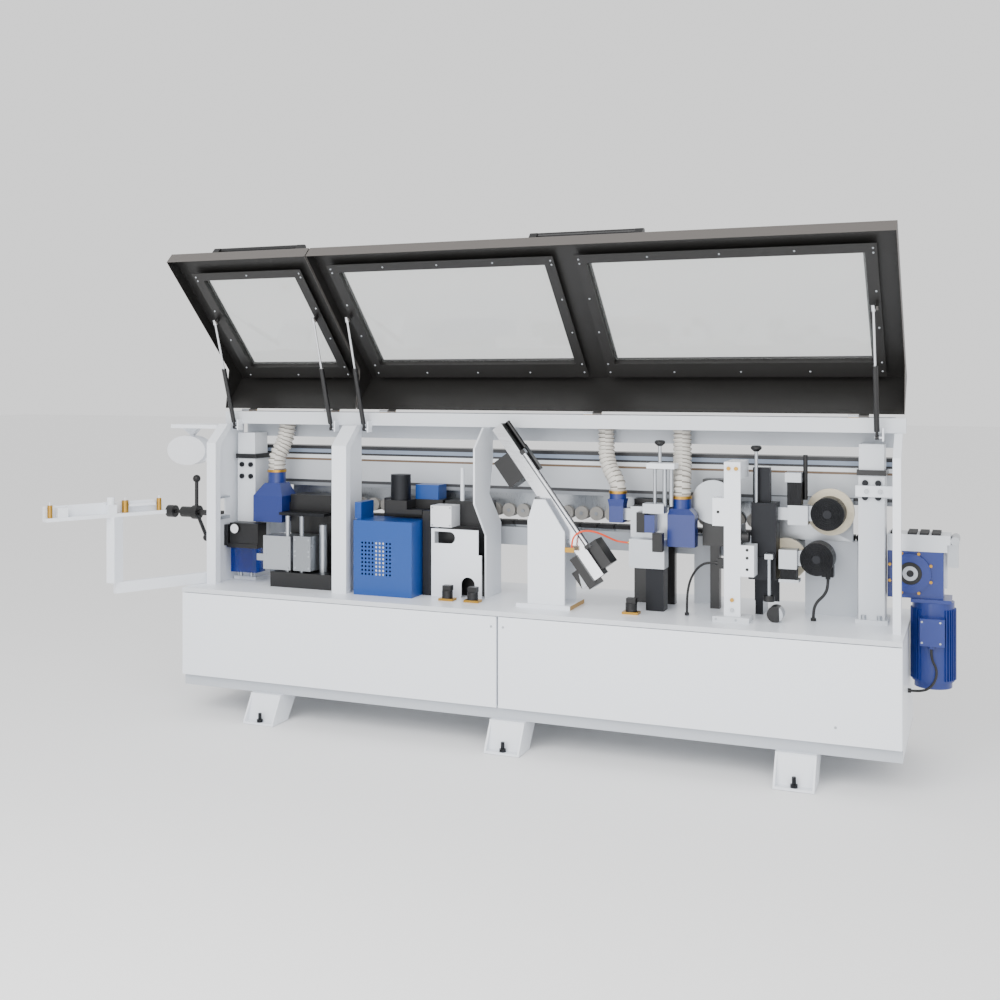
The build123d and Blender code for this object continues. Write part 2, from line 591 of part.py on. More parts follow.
DUCT_R = 46


def duct(points, radius, bends):
    """A flexible extraction duct as a plain tube along tangent arcs."""
    path = FilletPolyline(*points, radius=bends)
    start = Plane(origin=path @ 0, z_dir=path % 0)
    return sweep(start * Circle(radius), path=path)


def make_extraction():
    add("extraction_hoods", *hood_funnel((212, 372), (270, 400), (869, 993), (262, 346), (1054, 1118)))
    add("extraction_hoods", *hood_funnel((2246, 2362), (274, 334), (850, 985), (2261, 2341), (1010, 1050)))
    add("extraction_hoods", *hood_funnel((1990, 2052), (280, 340), (940, 1010), (1985, 2057), (1040, 1062)))
    add("extraction_hoods", block((2154, 2197), (250, 300), (907, 981)))
    bar_z = POST_TOP + 40
    add("extraction_ducts",
        duct([(304, 335, 1118), (304, 335, 1180), (322, 372, 1240), (330, 390, 1320), (330, 390, bar_z)],
             DUCT_R - 4, [90, 90, 90]),
        duct([(2301, 304, 1050), (2301, 304, 1120), (2290, 362, 1200), (2282, 392, 1290), (2282, 392, bar_z)],
             DUCT_R - 6, [90, 90, 90]),
        duct([(2021, 310, 1062), (2021, 310, 1110), (1962, 354, 1180), (1944, 392, 1270), (1944, 392, bar_z)],
             DUCT_R - 10, [70, 80, 90]),
        rod_z(304, 335, (1104, 1117), DUCT_R, bore=DUCT_R - 4))


# ------------------------------------------------------------------ glue bay
def make_glue_bay():
    x, y, z = (833, 1124), (135, 330), (BASE_TOP, 916)
    sheet = 3
    front = block(x, (y[0], y[0] + sheet), z)
    holes = 9
    pitch = 17.5
    for i in range(holes):
        for j in range(holes):
            front -= rod_y(877 + i * pitch, 676 + j * pitch, (y[0] - 1, y[0] + sheet + 1), 5)
    add("glue_cover", front,
        block((x[0], x[0] + sheet), (y[0] + sheet, y[1]), z),
        block((x[1] - sheet, x[1]), (y[0] + sheet, y[1]), z),
        block((x[0] + sheet, x[1] - sheet), (y[0] + sheet, y[1]), (z[1] - sheet, z[1])))
    add("glue_unit",
        block((880, 1180), (345, 450), (BASE_TOP, 1000)),
        block((1180, 1405), (300, 450), (BASE_TOP, 890)),
        block((1200, 1405), (330, 440), (890, 1000)),
        block((1130, 1170), (236, 345), (BASE_TOP, 960)),
        rod_z(989, 300, (1000, 1115), 46))
    add("glue_unit", block((935, 1120), (250, 345), (940, 960)), block((935, 1043), (250, 345), (960, 1000)))
    add("glue_boxes", block((1040, 1155), (350, 440), (1000, 1066)))
    add("glue_boxes", block((815, 848), (180, 300), (916, 992)))
    panel_y = (230, 236)
    panel = block((1176, 1420), panel_y, (BASE_TOP, 883))
    panel -= block((1191, 1268), (229, 237), (818, 871))
    panel -= rod_y(1266, 844.5, (229, 237), 26.5)
    panel -= block((1322, 1388), (229, 237), (BASE_TOP - 1, 640))
    panel -= rod_y(1355, 640, (229, 237), 33)
    panel -= block((1404, 1421), (229, 237), (773, 884))
    add("glue_front_panel", panel, block((1176, 1179), (236, 300), (BASE_TOP, 883)))
    add("glue_front_panel",
        block((1170, 1272), (236, 330), (890, 985)),
        rod_z(1278, 345, (1000, 1150), 9))
    for rx, ry in ((1287, 160), (1408, 160), (2122, 160)):
        add("air_regulators", block((rx - 34, rx + 34), (ry - 24, ry + 24), (BASE_TOP, BASE_TOP + 10)),
            rod_z(rx, ry, (BASE_TOP + 10, BASE_TOP + 44), 24), block((rx - 18, rx + 22), (ry - 16, ry + 16),
                                                                     (BASE_TOP + 44, BASE_TOP + 66)))


# ------------------------------------------------------------------ end trimming bay
RAIL_TOP = (1486, 1326)
RAIL_END = (1985, 650)
RAIL_RUN = math.hypot(RAIL_END[0] - RAIL_TOP[0], RAIL_END[1] - RAIL_TOP[1])
RAIL_DIR = ((RAIL_END[0] - RAIL_TOP[0]) / RAIL_RUN, (RAIL_END[1] - RAIL_TOP[1]) / RAIL_RUN)


def on_rail(distance, offset=0):
    """A point in x and z: distance down the rail and offset square to it, upwards."""
    return (RAIL_TOP[0] + RAIL_DIR[0] * distance - RAIL_DIR[1] * offset,
            RAIL_TOP[1] + RAIL_DIR[1] * distance + RAIL_DIR[0] * offset)


def rail_plate(start, end, low, high, y):
    """A plate square to the rail, between two distances and two offsets."""
    return plate_across_y([on_rail(start, low), on_rail(end, low), on_rail(end, high), on_rail(start, high)], y)


def rail_rod(start, end, offset, y, radius):
    a, b = on_rail(start, offset), on_rail(end, offset)
    return rod((a[0], y, a[1]), (b[0], y, b[1]), radius)


def make_end_trim():
    outline = [(1671, BASE_TOP + 18), (1837, BASE_TOP + 18), (1837, 905), (1750, 1040), (1700, 1040), (1671, 950)]
    add("end_trim_pedestal",
        plate_across_y(outline, (140, 150)),
        plate_across_y(outline, (290, 300)),
        block((1745, 1760), (150, 290), (BASE_TOP + 18, 900)),
        block((1624, 1867), (122, 318), (BASE_TOP, BASE_TOP + 18)))
    add("end_trim_rail",
        rail_plate(0, RAIL_RUN - 60, 8, 58, (180, 250)),
        rail_rod(170, RAIL_RUN - 200, 70, 178, 7),
        rail_rod(0, 140, 68, 238, 10))
    add("end_trim_rail", block((1700, 1750), (150, 290), (1000, 1060)) - rail_plate(-50, RAIL_RUN, 8, 90, (100, 300)),
        rail_plate(150, 170, 58, 80, (168, 195)),
        rail_plate(RAIL_RUN - 200, RAIL_RUN - 184, 58, 80, (168, 195)))
    add("upper_trim_carriage",
        rail_plate(120, 250, -72, 8 - CLEAR, (176, 286)),
        rail_plate(120, 250, 8 - CLEAR, 66, (250 + CLEAR, 286)))
    add("lower_trim_carriage",
        rail_plate(650, 800, -28, 8 - CLEAR, (170, 280)),
        rail_plate(640, 760, 58 + CLEAR, 108, (196, 290)),
        rail_plate(650, 760, 8 - CLEAR, 58 + CLEAR, (250 + CLEAR, 280)),
        rail_plate(700, 780, -62, -28, (190, 270)))


# ------------------------------------------------------------------ trimming and scraping bays
def t_knob(name, x, y, z_top, shaft_bottom, radius=22):
    add(name, dome_knob(x, y, z_top, radius, 24), rod_z(x, y, (shaft_bottom, z_top - 24), 7))


def make_trim_bay():
    add("trim_brackets",
        block((2172, 2290), (214, 290), (1179, 1201)),
        rod_z(2196, 262, (1020, 1179), 7), rod_z(2238, 262, (1020, 1179), 9), rod_z(2266, 262, (1020, 1179), 9),
        block((2080, 2246), (300, 420), (880, 1010)),
        block((2150, 2240), (236, 300), (990, 1030)),
        block((2092, 2244), (230, 300), (760, 880)),
        block((2160, 2236), (250, 320), (BASE_TOP, 760)),
        block((2376, 2470), (362, 440), (850, 1130)),
        block((2060, 2240), (430, 466), (BASE_TOP, 1030)),
        block((2120, 2200), (420, 430), (900, 980)),
        block((2052, 2080), (304, 330), (950, 1000)),
        block((2400, 2440), (400, 440), (BASE_TOP, 850)))
    t_knob("trim_height_knob", 2224, 236, 1297, 1201 + CLEAR)
    add("unit_motors",
        block((2117, 2153), (256, 300), (905, 990)),
        block((2202, 2244), (192, 230), (836, 913)))
    add("tracing_disc", rod_y(2424, 1036, (348, 360), 92, bore=14 + RUN_FIT))
    add("trim_brackets", rod_y(2424, 1036, (343, 362), 14))
    post_y = (160, 172)
    add("trim_post",
        block((2507, 2573), post_y, (BASE_TOP + 20, 1218)),
        block((2466, 2612), (132, 230), (BASE_TOP, BASE_TOP + 20)),
        block((2507, 2573), (172, 340), (1150, 1218)),
        plate_across_x([(172, BASE_TOP + 20), (225, BASE_TOP + 20), (172, 760)], (2530, 2545)))
    add("trim_brackets", block((2460, 2507), (160, 240), (960, 1072)), block((2573, 2627), (160, 240), (761, 886)),
        rod_x((2573, 2604), 186, 917, 22), block((2559, 2573), (172, 280), (880, 960)),
        block((2478, 2545), (172, 200), (786, 826)), rod_x((2466, 2478), 186, 806, 9),
        rod_x((2080, 2092), 262, 860, 8))
    add("machine_bolts", rod_y(2526, 1192, (153, 160), 8), rod_y(2556, 1192, (153, 160), 8),
        rod_y(2540, 665, (153, 160), 8), rod_y(2540, 625, (153, 160), 8))


FAN_UPPER = (2897, 1010)
FAN_LOWER = (2857, 830)
FAN_R = 66
LOWER_WHEEL = (2722, 812)


def make_buff_bay():
    add("buff_brackets",
        block((2733, 2797), (262, 330), (1136, 1174)),
        block((2744, 2823), (262, 330), (965, 1043)),
        block((2700, 2744), (296, 330), (980, 1030)),
        block((2712, 2783), (240, 310), (789, 866)),
        block((2712, 2790), (240, 310), (735, 747)),
        block((2628, 2668), (326, 334), (1055, 1177)),
        block((2600, 2700), (250, 330), (830, 1050)),
        block((2600, 2668), (290, 326), (1050, 1190)),
        block((2790, 3000), (430, 466), (BASE_TOP, 885)),
        block((2600, 2980), (438, 466), (885, 1060)),
        block((2590, 2700), (240, 330), (740, 830)),
        block((2600, 2700), (330, 345), (640, 1050)),
        block((2600, 2632), (345, 466), (BASE_TOP, 885)))
    add("unit_motors",
        block((2741, 2797), (266, 326), (1043, 1136)),
        block((2716, 2780), (244, 306), (747, 789)),
        rod_z(2806, 322, (1062, 1244), 9))
    for (x, z), y in ((FAN_UPPER, 280), (FAN_LOWER, 262)):
        add("unit_motors", rod_y(x, z, (y, y + 96), FAN_R))
    arbor = (376, 398)
    add("unit_motors", rod_y(*FAN_UPPER, arbor, 9), rod_y(*LOWER_WHEEL, (310, arbor[1] - 20), 9),
        rod_y(*FAN_LOWER, (358, 430), 20))
    add("upper_buff_wheel", rod_y(*FAN_UPPER, (arbor[0] + 2, arbor[1] - 2), BUFF_WHEEL_R, bore=9 + RUN_FIT))
    add("lower_buff_wheel", rod_y(*LOWER_WHEEL, (arbor[0] - 18, arbor[1] - 22), LOWER_WHEEL_R, bore=9 + RUN_FIT))
    for (x, z), y, near in ((FAN_UPPER, (290, 330), 2823), (FAN_LOWER, (270, 310), 2783)):
        link = block((near, x), y, (z - 30, z + 30))
        add("buff_brackets", link - rod_y(x, z, (y[0] - 1, y[1] + 1), FAN_R))
    box = block((2872, 2918), (300, 344), (756, 800)) - rod_y(*FAN_LOWER, (290, 360), FAN_R)
    add("unit_motors", box, rod_z(2895, 320, (746, 756), 10))
    t_knob("buff_height_knob", 2618, 264, 1281, 1050 + CLEAR)
    add("buff_brackets", rod_z(2678, 214, (684, 830), 7), rod_z(2678, 214, (660, 684), 22))
    add("buff_brackets", block((2662, 2694), (200, 240), (830, 850)))
    add("buff_brackets", rod_y(2704, 612, (190, 250), 32))


# ------------------------------------------------------------------ tape guide and controls at the infeed end
ARM_ROOT = (52, 221, 606)
ARM_CORNER = (-183, -249, 606)
CHANNEL_Z = 936
CHANNEL_FAR = (-326, -535, CHANNEL_Z)
CHANNEL_NEAR = (-76, -35, CHANNEL_Z)
CHANNEL_LENGTH = 559


def on_channel(distance, side, rise):
    """A point along the tape channel: distance from its far end, sideways offset and height."""
    run = (CHANNEL_NEAR[0] - CHANNEL_FAR[0], CHANNEL_NEAR[1] - CHANNEL_FAR[1])
    length = math.hypot(*run)
    ux, uy = run[0] / length, run[1] / length
    return (CHANNEL_FAR[0] + ux * distance + uy * side, CHANNEL_FAR[1] + uy * distance - ux * side, CHANNEL_Z + rise)


def make_tape_guide():
    add("tape_arm",
        bar_between(ARM_ROOT, ARM_CORNER, 30, 50) - block((43, 143), (0, 400), (500, 700)),
        bar_between((ARM_CORNER[0], ARM_CORNER[1], 631), (ARM_CORNER[0], ARM_CORNER[1], 928), 44, 60))
    add("tape_arm",
        bar_between(on_channel(0, 0, 0), on_channel(CHANNEL_LENGTH, 0, 0), 46, 16),
        bar_between(on_channel(0, -20, 33), on_channel(CHANNEL_LENGTH, -20, 33), 4, 50),
        bar_between(on_channel(52, 0, 29), on_channel(98, 0, 29), 36, 42),
        bar_between(on_channel(384, -5, 40), on_channel(514, -5, 40), 26, 12))
    for distance, radius in ((22, 11), (367, 15), (532, 11)):
        x, y, z = on_channel(distance, 4, 8)
        add("tape_rollers", rod_z(x, y, (z, z + 56), radius, bore=4 + RUN_FIT))
        add("tape_arm", rod_z(x, y, (z, z + 68), 4))
    add("tape_arm", bar_between(on_channel(280, 2, 28), on_channel(320, 2, 28), 40, 40))
    x, y, z = on_channel(300, 2, 48)
    add("tape_arm", rod_z(x, y, (z, z + 34), 17))
    add("infeed_fittings", block((66, 92), (180, 252), (882, 898)),
        block((66, 92), (180, 252), (982, 990)))


CAPSTAN_Y, CAPSTAN_Z = 268, 900


def make_capstan():
    """Two-arm adjusting handle with a central clamping knob, on a spindle out of the end plate."""
    y, z = CAPSTAN_Y, CAPSTAN_Z
    add("infeed_fittings", rod_x((-97, 60), y, z, 14))
    pieces = [rod_x((-130, -97), y, z, 34), rod_x((-196, -130), y, z, 26), rod_x((-238, -196), y, z, 9),
              rod_x((-278, -238), y, z, 30)]
    for bearing, length in ((90, 165), (-58, 158)):
        a = math.radians(bearing)
        tip = (-113, y + length * math.cos(a), z + length * math.sin(a))
        root = (-113, y + 30 * math.cos(a), z + 30 * math.sin(a))
        pieces.append(rod(root, tip, 9))
        pieces.append(Pos(*tip) * Sphere(19))
    add("capstan_handle", *pieces)


def make_control_housing():
    """Flat shelf at the infeed end with a rounded housing hung below it."""
    add("control_housing",
        block((-224, 43), (212, 400), (POST_TOP - 24, POST_TOP - 6)))
    cx, cz = -170, 1203
    face = Plane.XZ.offset(-330) * Pos(cx, cz) * Ellipse(112, 72)
    add("control_housing", extrude(face, amount=70),
        block((-100, 60), (284, 316), (1150, 1205)) - extrude(face, amount=70),
        plate_across_y([(-236, POST_TOP - 24), (-130, POST_TOP - 24), (-168, 1274), (-180, 1274)], (285, 310))
        - extrude(face, amount=70))


def make_strap():
    """Strap over the bolt heads of the outfeed column to the web of the end post, with two bolts."""
    front = COLUMN_FRONT - COLUMN_BOLT_HEAD - STRAP_THICK
    z = (STRAP_Z - 22, STRAP_Z + 22)
    add("outfeed_end_post", block((RIGHT_COLUMN_X - 10, END_WEB_X), (front, front + STRAP_THICK), z))
    for x in (RIGHT_COLUMN_X + 32, RIGHT_COLUMN_X + 84):
        add("machine_bolts", rod_y(x, STRAP_Z, (front - 6, front), 9))


# ------------------------------------------------------------------ cables and air hose
def cord(name, points, radius):
    """A cable or hose as a tube of straight runs joined by tangent arcs; prints the arc radii."""
    runs = [(Vector(*b) - Vector(*a)) for a, b in zip(points, points[1:])]
    radii = []
    for before, after in zip(runs, runs[1:]):
        turn = math.radians(before.get_angle(after))
        radii.append(0.45 * min(before.length, after.length) / math.tan(turn / 2))
    path = FilletPolyline(*points, radius=radii)
    tube = sweep(Plane(origin=path @ 0, z_dir=path % 0) * Circle(radius), path=path)
    print(name, "length", round(path.length), "radii", [round(r) for r in radii],
          "volume ratio", round(tube.volume / (math.pi * radius ** 2 * path.length), 3))
    add(name, tube)


MOTOR_CABLE = [(3286, 343, 493), (3286, 343, 452), (3306, 338, 419), (3306, 331, 382), (3286, 325, 345),
               (3252, 321, 327), (3212, 321, 327)]
BUFF_CABLE = [(2895, 320, 746), (2895, 320, 712), (2881, 311, 680), (2856, 295, 658), (2842, 286, 626),
              (2842, 286, 592)]
TRIM_CABLE = [(2466, 186, 806), (2432, 186, 806), (2401, 189, 789), (2376, 196, 759), (2358, 204, 723),
              (2348, 210, 683), (2344, 212, 641), (2344, 212, 592)]
AIR_HOSE = [(1868, 145, 842), (1868, 145, 872), (1884, 149, 900), (1914, 159, 914), (1948, 178, 912),
            (1980, 204, 898), (2010, 232, 878), (2042, 262, 860), (2080, 262, 860)]


def make_cords():
    cord("motor_cable", MOTOR_CABLE, 5)
    cord("buff_cable", BUFF_CABLE, 6)
    cord("trim_cable", TRIM_CABLE, 5)
    cord("air_hose", AIR_HOSE, 4)
    add("base_cabinet", rod_x((BASE_LENGTH, BASE_LENGTH + 12), 321, 327, 9))
    add("base_cabinet", rod_z(2842, 286, (BASE_TOP, 592), 11), rod_z(2344, 212, (BASE_TOP, 592), 9))
    add("end_trim_pedestal", block((1837, 1878), (140, 150), (822, 842)))


CORDS = ("motor_cable", "buff_cable", "trim_cable", "air_hose")
LEFT_HINGES = (170, 625)
RIGHT_HINGES = (920, 1910, 3015)


def build():
    make_base()
    make_feet()
    make_uprights()
    make_hood("left", LEFT_HOOD_X, LEFT_WINDOWS, LEFT_WINDOW_SPAN, (230, 711), LEFT_HINGES)
    right_x = (LEFT_HOOD_X[1] + HOOD_SEAM, RIGHT_HOOD_END)
    make_hood("right", right_x, RIGHT_WINDOWS, RIGHT_WINDOW_SPAN, (1757, 2247), RIGHT_HINGES)
    make_hinges(LEFT_HINGES + RIGHT_HINGES)
    make_struts("left", LEFT_STRUTS)
    make_struts("right", RIGHT_STRUTS)
    make_columns()
    make_beam()
    make_conveyor()
    make_drive()
    make_infeed_bay()
    make_extraction()
    make_glue_bay()
    make_end_trim()
    make_trim_bay()
    make_buff_bay()
    make_tape_guide()
    make_capstan()
    make_control_housing()
    make_strap()
    make_cords()


def solids_of(shape):
    return list(shape.solids()) if hasattr(shape, "solids") else [shape]


def write_parts():
    """Shift every node so that the origin is the centre of the footprint, and write the files."""
    os.makedirs("parts", exist_ok=True)
    flat = {name: [solid for shape in shapes for solid in solids_of(shape)] for name, shapes in nodes.items()}
    body = Compound([solid for name, solids in flat.items() if name not in CORDS for solid in solids])
    box = body.bounding_box()
    shift = (-(box.min.X + box.max.X) / 2, -(box.min.Y + box.max.Y) / 2, -box.min.Z)
    for name, solids in flat.items():
        moved = [Pos(*shift) * solid for solid in solids]
        export_step(Compound(moved, label=name), f"parts/{name}.step")
    print("nodes", len(flat), "shift", [round(value, 3) for value in shift],
          "size", [round(value, 1) for value in (box.size.X, box.size.Y, box.size.Z)])
    return shift


build()
SHIFT = write_parts()
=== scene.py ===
# %% [markdown]
# An edge banding machine with its guard hoods up. The machine itself comes from the imported CAD
# frame. This lesson gives every part its finish and adds what a drawing office leaves out: ribbed
# hoses, cables, screws, fan covers and wiring. Everything is in metres.

import math

import bmesh
import bpy
from mathutils import Matrix, Vector


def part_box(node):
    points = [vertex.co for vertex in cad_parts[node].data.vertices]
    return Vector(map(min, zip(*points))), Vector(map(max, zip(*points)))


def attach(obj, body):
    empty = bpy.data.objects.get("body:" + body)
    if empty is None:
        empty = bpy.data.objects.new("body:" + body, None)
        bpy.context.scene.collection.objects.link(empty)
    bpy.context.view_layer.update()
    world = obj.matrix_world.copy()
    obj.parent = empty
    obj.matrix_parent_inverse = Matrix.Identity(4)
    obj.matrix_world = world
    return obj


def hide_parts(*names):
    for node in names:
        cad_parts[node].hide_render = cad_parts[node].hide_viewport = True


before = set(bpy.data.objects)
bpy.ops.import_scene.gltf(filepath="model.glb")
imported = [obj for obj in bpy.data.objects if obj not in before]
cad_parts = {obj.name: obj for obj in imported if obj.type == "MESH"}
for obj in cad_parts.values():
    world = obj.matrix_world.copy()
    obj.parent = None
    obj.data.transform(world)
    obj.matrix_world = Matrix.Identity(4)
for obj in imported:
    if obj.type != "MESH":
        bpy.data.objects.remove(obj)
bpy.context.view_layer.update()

# %% [markdown]
# The drawings of this machine measure from the infeed end of the base, its front face and the
# floor. The low corner of the base gives that corner in the frame, so a helper can turn drawing
# sizes in millimetres into places in the scene.

# %% Drawing sizes to scene places
base_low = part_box("base_cabinet")[0]
CORNER = Vector((base_low[0], base_low[1], 0))


def at(x, y, z):
    """A place in the scene from drawing sizes in millimetres."""
    return CORNER + Vector((x, y, z)) / 1000


def mm(point):
    """Drawing sizes in millimetres of a place in the scene."""
    return (Vector(point) - CORNER) * 1000


print("base corner", [round(v, 4) for v in CORNER])

# %% [markdown]
# The camera stands to the right of the outfeed end at standing height and looks level along the
# machine, so its uprights stay upright. A small downward shift frames the machine without tilting.

# %% Camera
CAMERA_PLACE = (3484.8, -4690.4, 1540.8)
CAMERA_TURN = 0.382  # radians to the left of straight ahead
camera_data = bpy.data.cameras.new("camera")
camera_data.lens = 43.54
camera_data.sensor_width = 36
camera_data.shift_y = -0.1183
camera = bpy.data.objects.new("camera", camera_data)
camera.location = at(*CAMERA_PLACE)
camera.rotation_euler = (math.pi / 2, 0, CAMERA_TURN)
bpy.context.scene.collection.objects.link(camera)
bpy.context.scene.camera = camera
print("camera at", [round(v, 2) for v in camera.location])

# %% [markdown]
# The studio is a pale floor, a bright even surround and three large soft lights. Large lights give
# the wide, soft highlights that painted sheet metal shows.

# %% Floor and lights
floor_mesh = bpy.data.meshes.new("floor")
floor_form = bmesh.new()
bmesh.ops.create_grid(floor_form, x_segments=1, y_segments=1, size=40)
bmesh.ops.translate(floor_form, verts=floor_form.verts, vec=(0, 0, -0.002))
floor_form.to_mesh(floor_mesh)
floor = bpy.data.objects.new("floor", floor_mesh)
bpy.context.scene.collection.objects.link(floor)

world = bpy.data.worlds.new("studio")
bpy.context.scene.world = world
world.use_nodes = True
world.node_tree.nodes["Background"].inputs["Color"].default_value = (1, 1, 1, 1)
world.node_tree.nodes["Background"].inputs["Strength"].default_value = 1.25


def soft_light(name, place, target, size, power):
    """A square area light that faces a point."""
    data = bpy.data.lights.new(name, "AREA")
    data.size = size
    data.energy = power
    light = bpy.data.objects.new(name, data)
    light.location = at(*place)
    light.rotation_euler = (at(*target) - light.location).to_track_quat("-Z", "Y").to_euler()
    bpy.context.scene.collection.objects.link(light)
    return light


lights = [soft_light("key light", (800, -4200, 3800), (1500, 200, 900), 3.2, 170),
          soft_light("fill light", (4600, -3600, 2600), (1800, 200, 900), 3.5, 90),
          soft_light("floor fill", (1600, -3500, 700), (1600, 300, 1000), 2.5, 40)]
print("lights", len(lights))

# %% [markdown]
# Colours are chosen as the hexadecimal values a paint chart gives. Shaders work in linear light, so
# one function converts them. One small helper adds a shader node with its settings and links, which
# keeps each finish down to a few readable lines.

# %% Colour and shader helpers


def paint(code):
    """Linear colour from a paint chart code."""
    channels = [int(code[i:i + 2], 16) / 255 for i in (1, 3, 5)]
    return tuple(c / 12.92 if c <= 0.04045 else ((c + 0.055) / 1.055) ** 2.4 for c in channels) + (1,)


def shader_node(tree, kind, links=None, **settings):
    """Adds a node, sets its attributes or input values and links its inputs."""
    made = tree.nodes.new(kind)
    for key, value in settings.items():
        if hasattr(made, key):
            setattr(made, key, value)
        else:
            made.inputs[key.replace("_", " ").title()].default_value = value
    for key, source in (links or {}).items():
        tree.links.new(source, made.inputs[key])
    return made


def finish_base(name, code, rough, metal=0.0):
    """A material with its main shader set, and the object coordinates that patterns read."""
    made = bpy.data.materials.new(name)
    made.use_nodes = True
    tree = made.node_tree
    main = tree.nodes["Principled BSDF"]
    main.inputs["Base Color"].default_value = paint(code)
    main.inputs["Roughness"].default_value = rough
    main.inputs["Metallic"].default_value = metal
    made.diffuse_color = paint(code)
    coords = shader_node(tree, "ShaderNodeTexCoord")
    return made, tree, main, coords.outputs["Object"]


def vary_roughness(tree, main, place, scale, low, high):
    """Slightly uneven gloss, as handling and cleaning leave it."""
    cloud = shader_node(tree, "ShaderNodeTexNoise", {"Vector": place}, scale=scale, detail=4.0)
    spread = shader_node(tree, "ShaderNodeMapRange", {"Value": cloud.outputs["Fac"]},
                         To_Min=low, To_Max=high)
    tree.links.new(spread.outputs["Result"], main.inputs["Roughness"])


def emboss(tree, main, height, strength, distance):
    """Turns a grey value into surface relief."""
    relief = shader_node(tree, "ShaderNodeBump", {"Height": height}, strength=strength, distance=distance)
    tree.links.new(relief.outputs["Normal"], main.inputs["Normal"])


print("white paint is", [round(c, 3) for c in paint("#EEF2F8")])

# %% [markdown]
# Powder coat has a fine orange-peel relief and an even satin gloss. Machined steel shows fine
# streaks from the cutter. Moulded parts are duller. Each family is one function, so every part of
# the machine takes its finish from the same few recipes.

# %% Finish recipes


def powder_coat(name, code, rough=0.4, coat=0.15):
    made, tree, main, place = finish_base(name, code, rough)
    main.inputs["Coat Weight"].default_value = coat
    main.inputs["Coat Roughness"].default_value = 0.2
    vary_roughness(tree, main, place, 6, rough - 0.06, rough + 0.08)
    peel = shader_node(tree, "ShaderNodeTexNoise", {"Vector": place}, scale=420.0, detail=2.0)
    emboss(tree, main, peel.outputs["Fac"], 0.05, 0.0006)
    return made


def machined(name, code, rough=0.32, stretch=(8, 8, 260)):
    made, tree, main, place = finish_base(name, code, rough, 0.9)
    streaks = shader_node(tree, "ShaderNodeMapping", {"Vector": place}, Scale=stretch)
    grain = shader_node(tree, "ShaderNodeTexNoise", {"Vector": streaks.outputs["Vector"]},
                        scale=4.0, detail=5.0)
    spread = shader_node(tree, "ShaderNodeMapRange", {"Value": grain.outputs["Fac"]},
                         To_Min=rough - 0.1, To_Max=rough + 0.16)
    tree.links.new(spread.outputs["Result"], main.inputs["Roughness"])
    emboss(tree, main, grain.outputs["Fac"], 0.08, 0.0008)
    return made


def moulded(name, code, rough=0.55, scale=900.0):
    made, tree, main, place = finish_base(name, code, rough)
    grain = shader_node(tree, "ShaderNodeTexNoise", {"Vector": place}, scale=scale, detail=3.0)
    vary_roughness(tree, main, place, 18, rough - 0.08, rough + 0.1)
    emboss(tree, main, grain.outputs["Fac"], 0.12, 0.0005)
    return made


def ribbed(name, code, rough, spacing, direction="Z"):
    """A moulded finish with regular grooves across one direction."""
    made, tree, main, place = finish_base(name, code, rough)
    ribs = shader_node(tree, "ShaderNodeTexWave", {"Vector": place}, wave_type="BANDS",
                       bands_direction=direction, scale=0.314 / spacing)
    vary_roughness(tree, main, place, 14, rough - 0.08, rough + 0.08)
    emboss(tree, main, ribs.outputs["Fac"], 0.9, 0.003)
    return made


white_paint = powder_coat("white paint", "#E9EDF3")
panel_paint = powder_coat("panel white", "#EEF2F8", 0.36, 0.25)
grey_paint = powder_coat("light grey paint", "#B9BEC5", 0.42)
pale_grey = powder_coat("pale grey paint", "#D3D7DC", 0.42)
hood_dark = powder_coat("hood inside, dark grey", "#1A1918", 0.46, 0.1)
hood_rim = powder_coat("hood rim, mid grey", "#56524F", 0.42, 0.1)
black_paint = powder_coat("satin black paint", "#0D0D0F", 0.38, 0.2)
cover_blue = powder_coat("glue cover blue", "#03418C", 0.36, 0.3)
drive_blue = powder_coat("drive blue", "#132C78", 0.36, 0.3)
navy_paint = powder_coat("extraction navy", "#0F2870", 0.34, 0.3)
steel = machined("machined steel", "#B4B8BD")
steel_side = machined("ground steel", "#9DA1A6", 0.28, (260, 8, 8))
chrome = machined("hard chrome", "#DCDEE2", 0.14, (4, 4, 30))
brass = machined("brass plate", "#B58B3C", 0.3, (60, 60, 60))
dark_steel = machined("blackened steel", "#2C2D30", 0.42)
black_plastic = moulded("black moulding", "#0C0C0E", 0.42)
pale_plastic = moulded("pale moulding", "#DFE1E5", 0.4)
pad_rubber = moulded("pad rubber", "#262628", 0.75, 500.0)
wheel_rubber = moulded("wheel rubber", "#9C9994", 0.6, 500.0)
cable_sheath = moulded("cable sheath", "#141416", 0.5)
hose_orange = moulded("air hose orange", "#E04A20", 0.35)
motor_fins = ribbed("finned motor body", "#121316", 0.45, 0.006, "X")
print("finishes", len(bpy.data.materials))

# %% [markdown]
# A few finishes need their own pattern: the stitched cotton buffing wheels have a cell-like relief, the
# beam has its stacked rails in bands of colour, and the hood windows and the oil bowl are clear.

# %% Special finishes


def stitched_cotton():
    made, tree, main, place = finish_base("stitched cotton", "#DDD3BB", 0.9)
    main.inputs["Sheen Weight"].default_value = 0.4
    weave = shader_node(tree, "ShaderNodeTexVoronoi", {"Vector": place}, scale=260.0)
    emboss(tree, main, weave.outputs["Distance"], 0.6, 0.002)
    return made


